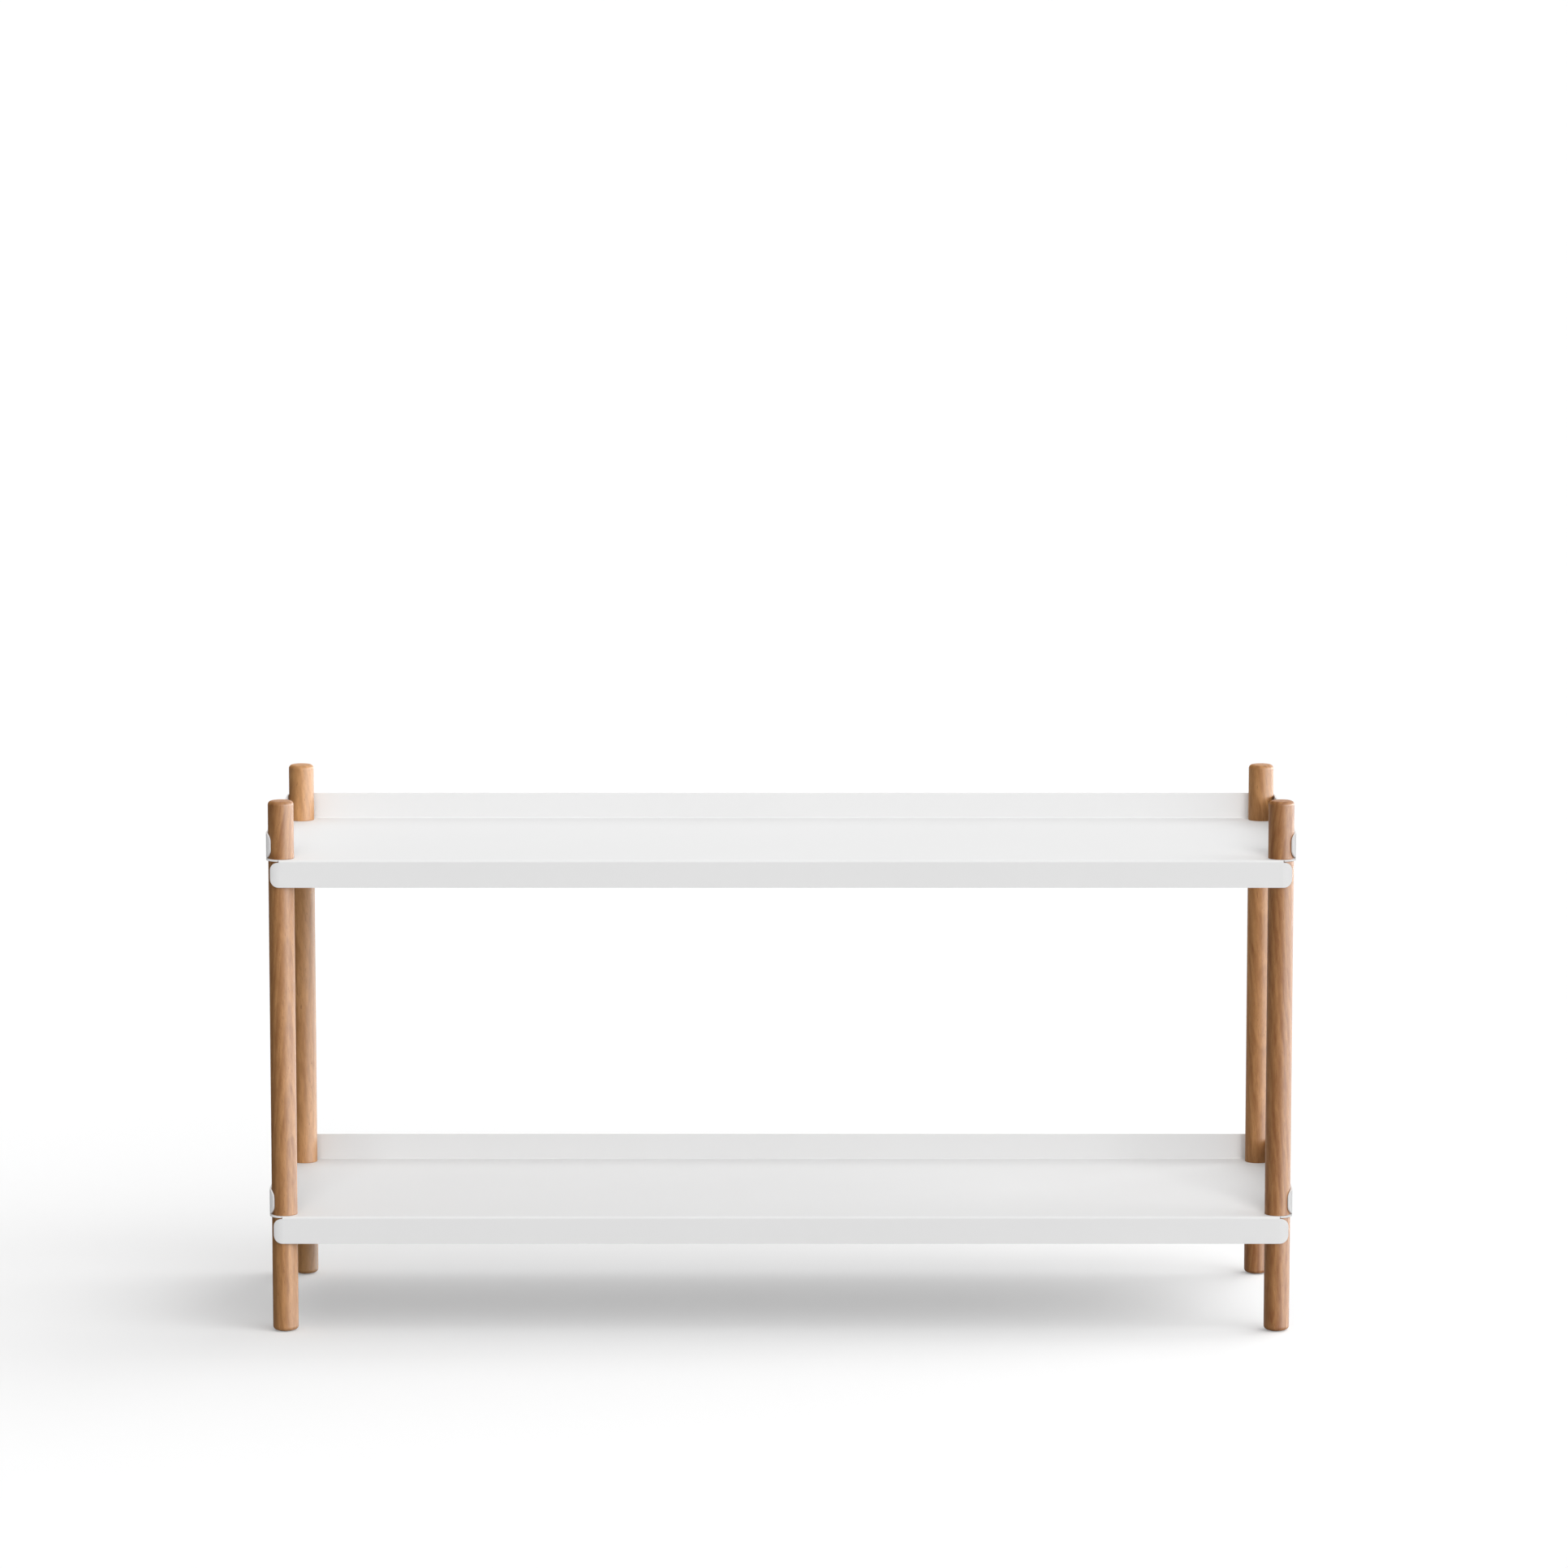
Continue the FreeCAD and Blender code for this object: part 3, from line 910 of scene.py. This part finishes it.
    def edge_spans(self, mesh: bmesh.types.BMesh) -> dict[str, list[bmesh.types.BMEdge]]:
        """Sort the deck's outer edges by what is done to them.

        Args:
            mesh: Flat deck.

        Returns:
            Edges of the lip, the upstand and the bare front corners.
        """
        spans: dict[str, list[bmesh.types.BMEdge]] = {"lip": [], "upstand": [], "bare": []}
        past_holes = (self.stud_hole + self.fold_line) / 2
        for edge in mesh.edges:
            middle = (edge.verts[0].co + edge.verts[1].co) / 2
            if not edge.is_boundary or (middle - self.nearest_axis(middle)).length < past_holes:
                continue
            bearing = self.bearing(middle)
            if bearing < self.attached_degrees:
                spans["lip"].append(edge)
            elif bearing > RIGHT_ANGLE - self.attached_degrees:
                spans["upstand"].append(edge)
            elif self.bare_degrees < bearing < RIGHT_ANGLE - self.bare_degrees:
                spans["bare"].append(edge)
        return spans

    def pull_edges(
        self,
        mesh: bmesh.types.BMesh,
        edges: list[bmesh.types.BMEdge],
        out: float,
        rise: float,
    ) -> list[bmesh.types.BMEdge]:
        """Extrude deck edges square to themselves.

        Args:
            mesh: Mesh of the sheet.
            edges: Free edges.
            out: New distance from the line of the post axes.
            rise: New height over the middle of the deck.

        Returns:
            The new free edges.
        """
        grown = bmesh.ops.extrude_edge_only(mesh, edges=edges)["geom"]
        verts = {g for g in grown if isinstance(g, bmesh.types.BMVert)}
        for vert in verts:
            vert.co = self.on_edge(vert.co, out, rise)
        return [g for g in grown if isinstance(g, bmesh.types.BMEdge) and set(g.verts) <= verts]

    def fold_up(self, mesh: bmesh.types.BMesh, edges: list[bmesh.types.BMEdge], fold: Fold) -> None:
        """Fold the sheet along deck edges: round the bend, then straight to the free edge.

        Args:
            mesh: Mesh of the sheet.
            edges: Fold line.
            fold: Lip or upstand.
        """
        for step in range(1, self.bend_steps + 1):
            turn = math.radians(RIGHT_ANGLE) * step / self.bend_steps
            out = self.fold_line + self.bend * math.sin(turn)
            edges = self.pull_edges(mesh, edges, out, fold.value * self.bend * (1 - math.cos(turn)))
        self.pull_edges(mesh, edges, self.wall, fold.value * self.free_edge)

    def wrap_end(self, mesh: bmesh.types.BMesh, side: int, fold: Fold) -> None:
        """Carry a fold on round a front post, free of the deck, to its rounded end at the split.

        Args:
            mesh: Mesh of the sheet, already folded.
            side: Sign of X of the post.
            fold: Lip or upstand.
        """
        start = self.attached_degrees if fold is Fold.LIP else RIGHT_ANGLE - self.attached_degrees
        near, far = self.bend, self.free_edge
        ends = [self.on_wrap(side, fold, start, along) for along in (near, far)]
        edge = next(
            e
            for e in mesh.edges
            if all(min((v.co - end).length for v in e.verts) < CLOSE for end in ends)
        )
        for step in range(1, self.end_steps + 1):
            turn = math.radians(RIGHT_ANGLE) * step / self.end_steps
            degrees = start + (self.split_degrees - start) * math.sin(turn)
            trim = self.end_round * (1 - math.cos(turn))
            grown = bmesh.ops.extrude_edge_only(mesh, edges=[edge])["geom"]
            verts = [g for g in grown if isinstance(g, bmesh.types.BMVert)]
            verts.sort(key=lambda v: abs(v.co.z - self.post.z))
            verts[0].co = self.on_wrap(side, fold, degrees, near + trim)
            verts[1].co = self.on_wrap(side, fold, degrees, far - trim)
            edges = [g for g in grown if isinstance(g, bmesh.types.BMEdge)]
            edge = next(e for e in edges if set(e.verts) == set(verts))

    def thicken(self, piece: bpy.types.Object) -> None:
        """Give the sheet its thickness and the film's soft edges.

        Args:
            piece: Folded sheet.
        """
        walls = piece.modifiers.new("sheet", "SOLIDIFY")
        walls.thickness = self.sheet
        walls.offset = 0.0
        walls.use_even_offset = True
        edges = piece.modifiers.new("film", "BEVEL")
        edges.width = self.film_round
        edges.segments = self.film_steps
        edges.profile = 0.5
        edges.limit_method = "ANGLE"
        edges.angle_limit = SHARP_ANGLE
        keep_flats_flat(piece)

    def build(self) -> bpy.types.Object:
        """Fold the sheet, give it its thickness and dress it.

        Returns:
            The piece's object.
        """
        mesh = self.deck()
        spans = self.edge_spans(mesh)
        self.pull_edges(mesh, spans["bare"], self.wall + self.sheet / 2, 0.0)
        self.fold_up(mesh, spans["lip"], Fold.LIP)
        self.fold_up(mesh, spans["upstand"], Fold.UPSTAND)
        for side in (-1, 1):
            for fold in Fold:
                self.wrap_end(mesh, side, fold)
        bmesh.ops.recalc_face_normals(mesh, faces=mesh.faces)
        piece = finish_piece(mesh, f"folded_{self.node}", self.node, self.finish)
        self.thicken(piece)
        return piece


@dataclass(frozen=True)
class Lamp:
    """A broad, even light from far away, by the direction that it comes from, in degrees."""

    name: str
    from_right: float
    elevation: float
    spread: float
    strength: float
    flag: Flag
    share: Share = Share.BOTH
    distance: float = 3.0

    def hang(self, pieces: dict[str, list[bpy.types.Object]]) -> None:
        """Add the lamp to the scene.

        Args:
            pieces: Lists of pieces by name, which the lamp's flag lets in or keeps out.
        """
        turn, rise = math.radians(self.from_right), math.radians(self.elevation)
        level = math.cos(rise)
        towards = Vector((level * math.cos(turn), -level * math.sin(turn), math.sin(rise)))
        data = bpy.data.lights.new(self.name, "SUN")
        data.angle = math.radians(self.spread)
        data.energy = self.strength
        light = bpy.data.objects.new(self.name, data)
        light.location = towards * self.distance
        light.rotation_euler = towards.to_track_quat("Z", "Y").to_euler()
        light.visible_diffuse, light.visible_glossy = self.share.value
        receivers = bpy.data.collections.new(f"{self.name}_receivers")
        names, state = self.flag.value
        for piece in (piece for name in names for piece in pieces[name]):
            receivers.objects.link(piece)
            receivers.collection_objects[-1].light_linking.link_state = state
        light.light_linking.receiver_collection = receivers
        bpy.context.scene.collection.objects.link(light)


@dataclass
class Studio:
    """Pale floor, soft light and the camera at the photograph's place.

    The floor, the oak and the steel have lamps of their own, so that a white floor takes no extra light on
    the unit. The oak has two lamps more, which only show in its gloss.
    """

    lens_mm: float = 148.507
    sensor_mm: float = 36.0
    camera_place: Vector = field(default_factory=lambda: Vector((0.00284, -6.35191, 1.37084)))
    pitch_degrees: float = 7.6114
    floor_half: float = 150.0
    card_half: float = 1.4
    card_left: float = 0.56
    card_degrees: float = 42.0
    ambient: float = 0.14
    floor_white: float = 0.66
    floor_lift: float = 0.272
    floor_bounce: float = 0.48
    # Each lamp's name, degrees from the right towards the front, elevation, spread and strength
    lamps: tuple[Lamp, ...] = (
        Lamp("key", 8.0, 19.0, 80.0, 1.1, Flag.FLOOR),
        Lamp("rim", -36.0, 32.0, 60.0, 1.85, Flag.FLOOR),
        Lamp("front", 46.0, 24.0, 70.0, 2.5, Flag.FLOOR),
        Lamp("sky", 0.0, 90.0, 50.0, 0.72, Flag.FLOOR),
        Lamp("oak_sky", 0.0, 90.0, 60.0, 0.8, Flag.OAK, Share.COLOUR),
        Lamp("oak_front", 46.0, 24.0, 50.0, 2.58, Flag.OAK, Share.COLOUR),
        Lamp("oak_back", -95.0, 35.0, 60.0, 1.6, Flag.OAK, Share.COLOUR),
        Lamp("oak_gloss", 30.0, 11.0, 40.0, 18.5, Flag.OAK, Share.GLOSS),
        Lamp("oak_edge", -30.0, 11.0, 40.0, 15.5, Flag.OAK, Share.GLOSS),
        Lamp("shelf_sky", 0.0, 90.0, 140.0, 0.98, Flag.STEEL, Share.COLOUR),
        Lamp("shelf_front", 84.0, 34.0, 36.0, 1.97, Flag.STEEL, Share.COLOUR),
        Lamp("shelf_right", 0.0, 31.0, 40.0, 0.66, Flag.STEEL, Share.COLOUR),
        Lamp("shelf_back", -68.0, 36.0, 48.0, 0.84, Flag.STEEL, Share.COLOUR),
    )

    def camera(self) -> None:
        """Place the camera and make it the scene's."""
        data = bpy.data.cameras.new("camera")
        data.lens = self.lens_mm
        data.sensor_width = self.sensor_mm
        camera = bpy.data.objects.new("camera", data)
        camera.location = self.camera_place
        camera.rotation_euler = (math.radians(RIGHT_ANGLE - self.pitch_degrees), 0.0, 0.0)
        bpy.context.scene.collection.objects.link(camera)
        bpy.context.scene.camera = camera

    def seen_ray(self, tree: bpy.types.NodeTree) -> bpy.types.NodeSocket:
        """Find out whether a ray shows the background: from the camera, a gloss or a clear body.

        Args:
            tree: Node tree of the world or the floor.

        Returns:
            1 for such a ray, 0 for one that only lights something.
        """
        path = add_node(tree, "ShaderNodeLightPath").outputs
        direct = {0: path["Is Camera Ray"], 1: path["Is Glossy Ray"]}
        shown = add_node(tree, "ShaderNodeMath", direct, operation="MAXIMUM").outputs[0]
        through = {0: shown, 1: path["Is Transmission Ray"]}
        return add_node(tree, "ShaderNodeMath", through, operation="MAXIMUM").outputs[0]

    def world(self) -> None:
        """Fill the room with an even light: dim where it lights something, white where it shows."""
        world = bpy.data.worlds.new("studio")
        world.use_nodes = True
        tree = world.node_tree
        tree.nodes.clear()
        level = {"Value": self.seen_ray(tree), TO_LOW: self.ambient, TO_HIGH: 1.0}
        strength = add_node(tree, "ShaderNodeMapRange", level).outputs[0]
        white = {"Color": (1.0, 1.0, 1.0, 1.0), "Strength": strength}
        room = add_node(tree, "ShaderNodeBackground", white)
        add_node(tree, "ShaderNodeOutputWorld", {"Surface": room.outputs[0]})
        bpy.context.scene.world = world

    def stage_plane(
        self,
        name: str,
        half: float,
        place: Matrix,
        paint: bpy.types.Material,
    ) -> bpy.types.Object:
        """Add a square sheet of the studio.

        Args:
            name: Name of the sheet.
            half: Half of its side.
            place: Turn and place of its middle.
            paint: Its material.

        Returns:
            The sheet's object.
        """
        mesh = bmesh.new()
        bmesh.ops.create_grid(mesh, x_segments=1, y_segments=1, size=half, matrix=place)
        data = bpy.data.meshes.new(name)
        mesh.to_mesh(data)
        mesh.free()
        data.materials.append(paint)
        sheet = bpy.data.objects.new(name, data)
        bpy.context.scene.collection.objects.link(sheet)
        return sheet

    def black_card(self) -> None:
        """Lean a black card out from the floor on the left, where only gloss shows it and is kept deep."""
        paint = new_material("black_card")
        black = add_node(paint.node_tree, "ShaderNodeBsdfDiffuse", {"Color": (0.0, 0.0, 0.0, 1.0)})
        add_node(paint.node_tree, "ShaderNodeOutputMaterial", {"Surface": black.outputs[0]})
        rise = math.radians(self.card_degrees)
        left = self.card_left + self.card_half * math.cos(rise)
        place = Matrix.Translation((-left, 0.0, self.card_half * math.sin(rise)))
        card = self.stage_plane("card", self.card_half, place @ Matrix.Rotation(rise, 4, "Y"), paint)
        card.visible_camera = False
        card.visible_diffuse = False
        card.visible_shadow = False

    def floor(self) -> None:
        """Lay the floor, pale to the eye and less bright to the light that it throws back."""
        paint = new_material("pale_floor")
        tree = paint.node_tree
        seen = (self.floor_white, self.floor_white, self.floor_white, 1.0)
        pale = add_node(tree, "ShaderNodeBsdfDiffuse", {"Color": seen})
        lift = add_node(tree, "ShaderNodeEmission", {"Strength": self.floor_lift})
        shown = add_node(tree, "ShaderNodeAddShader", {0: pale.outputs[0], 1: lift.outputs[0]})
        grey = (self.floor_bounce, self.floor_bounce, self.floor_bounce, 1.0)
        dull = add_node(tree, "ShaderNodeBsdfDiffuse", {"Color": grey})
        mix = {0: self.seen_ray(tree), 1: dull.outputs[0], 2: shown.outputs[0]}
        shader = add_node(tree, "ShaderNodeMixShader", mix)
        add_node(tree, "ShaderNodeOutputMaterial", {"Surface": shader.outputs[0]})
        self.stage_plane("floor", self.floor_half, Matrix.Identity(4), paint)

    def build(self, pieces: dict[str, list[bpy.types.Object]]) -> None:
        """Set the camera, the lamps, the world and the floor.

        Args:
            pieces: Lists of pieces by name, which have lamps of their own.
        """
        self.camera()
        for lamp in self.lamps:
            lamp.hang(pieces)
        self.world()
        self.black_card()
        self.floor()
        bpy.context.scene.view_settings.view_transform = "Standard"


@dataclass
class Fittings:
    """Hidden metal and the glides, which keep the frame's own meshes."""

    zinc: bpy.types.Material
    nylon: bpy.types.Material

    def dress(self) -> None:
        """Give the studs, the inserts and the glides their finish."""
        for name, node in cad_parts.items():
            if "insert" in name or "stud" in name:
                finish = self.zinc
            elif name.startswith("glide"):
                finish = self.nylon
            else:
                continue
            node.data.materials.clear()
            node.data.materials.append(finish)
            LOG.info("%s: %s", name, finish.name)


def main() -> None:
    """Build the unit and its studio."""
    logging.basicConfig(level=logging.INFO, format="%(message)s")
    oak = OiledOak().material()
    white = PowderCoat().material()
    shelves = [FoldedShelf(node, white).build() for node in ("lower_shelf", "upper_shelf")]
    rods = [TurnedRod(turning, corner, oak).build() for corner in Corner for turning in Turning]
    Studio().build({"shelves": shelves, "rods": rods})
    Fittings(ZincPlate().material(), MouldedNylon().material()).dress()


if __name__ == "__main__":
    main()
